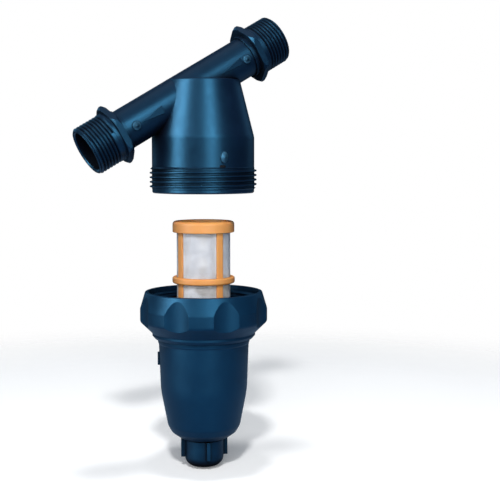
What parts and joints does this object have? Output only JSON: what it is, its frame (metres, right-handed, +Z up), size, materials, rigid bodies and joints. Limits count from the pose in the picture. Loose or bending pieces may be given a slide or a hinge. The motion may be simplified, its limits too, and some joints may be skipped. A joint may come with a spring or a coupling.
{
  "type": "y-pattern cartridge strainer",
  "caption": "Plastic in-line strainer shown apart: slanted pipe with threaded ends, bell head, caged screen cartridge, bowl with fluted ring nut, drain cap.",
  "frame": {"origin": "middle of the inlet hexagon's outer face, on the inlet pipe's axis", "axes": "+Z up along the bowl axis towards the head, +X towards the inlet, the pipe in the XZ plane rising 30 degrees towards +X; flow marks face -Y"},
  "size_m": [0.1489, 0.0844, 0.3025],
  "materials": {
    "head_plastic": "moulded, satin, dark petrol blue",
    "bowl_plastic": "moulded, satin, dark petrol blue",
    "cage_plastic": "moulded, light orange",
    "screen_mesh": "fine woven steel wire",
    "seal_rubber": "smooth black rubber"
  },
  "bodies": {
    "head": {"head_body": "head_plastic", "socket_gasket": "seal_rubber"},
    "cartridge": {"cartridge_cage": "cage_plastic", "cartridge_end_ring": "cage_plastic", "screen_sleeve": "screen_mesh", "screen_seam": "screen_mesh", "cartridge_seat_ring": "seal_rubber"},
    "bowl": {"bowl_shell": "bowl_plastic", "bowl_o_ring": "seal_rubber"},
    "ring_nut": {"ring_nut": "bowl_plastic"},
    "drain_seal": {"drain_gasket": "seal_rubber"},
    "drain_cap": {"drain_cap": "bowl_plastic"}
  },
  "joints": [
    {"name": "cartridge_draw", "type": "slide", "parent": "head", "child": "cartridge", "axis": [0, 0, 1], "range_m": [0, 0.069]},
    {"name": "bowl_rise", "type": "slide", "parent": "cartridge", "child": "bowl", "axis": [0, 0, 1], "range_m": [0, 0.021]},
    {"name": "nut_turn", "type": "hinge", "parent": "bowl", "child": "ring_nut", "pos_m": [-0.03594, 0, -0.18375], "axis": [0, 0, 1], "range_deg": [0, 2520]},
    {"name": "drain_drop", "type": "slide", "parent": "bowl", "child": "drain_seal", "axis": [0, 0, 1], "range_m": [-0.016, 0]},
    {"name": "drain_turn", "type": "hinge", "parent": "drain_seal", "child": "drain_cap", "pos_m": [-0.03594, 0, -0.27375], "axis": [0, 0, 1], "range_deg": [-2880, 0]}
  ],
  "couplings": [
    {"joint": "bowl_rise", "follows": "nut_turn", "m_per_rad": 0.00047746},
    {"joint": "drain_drop", "follows": "drain_turn", "m_per_rad": 0.00031831}
  ]
}
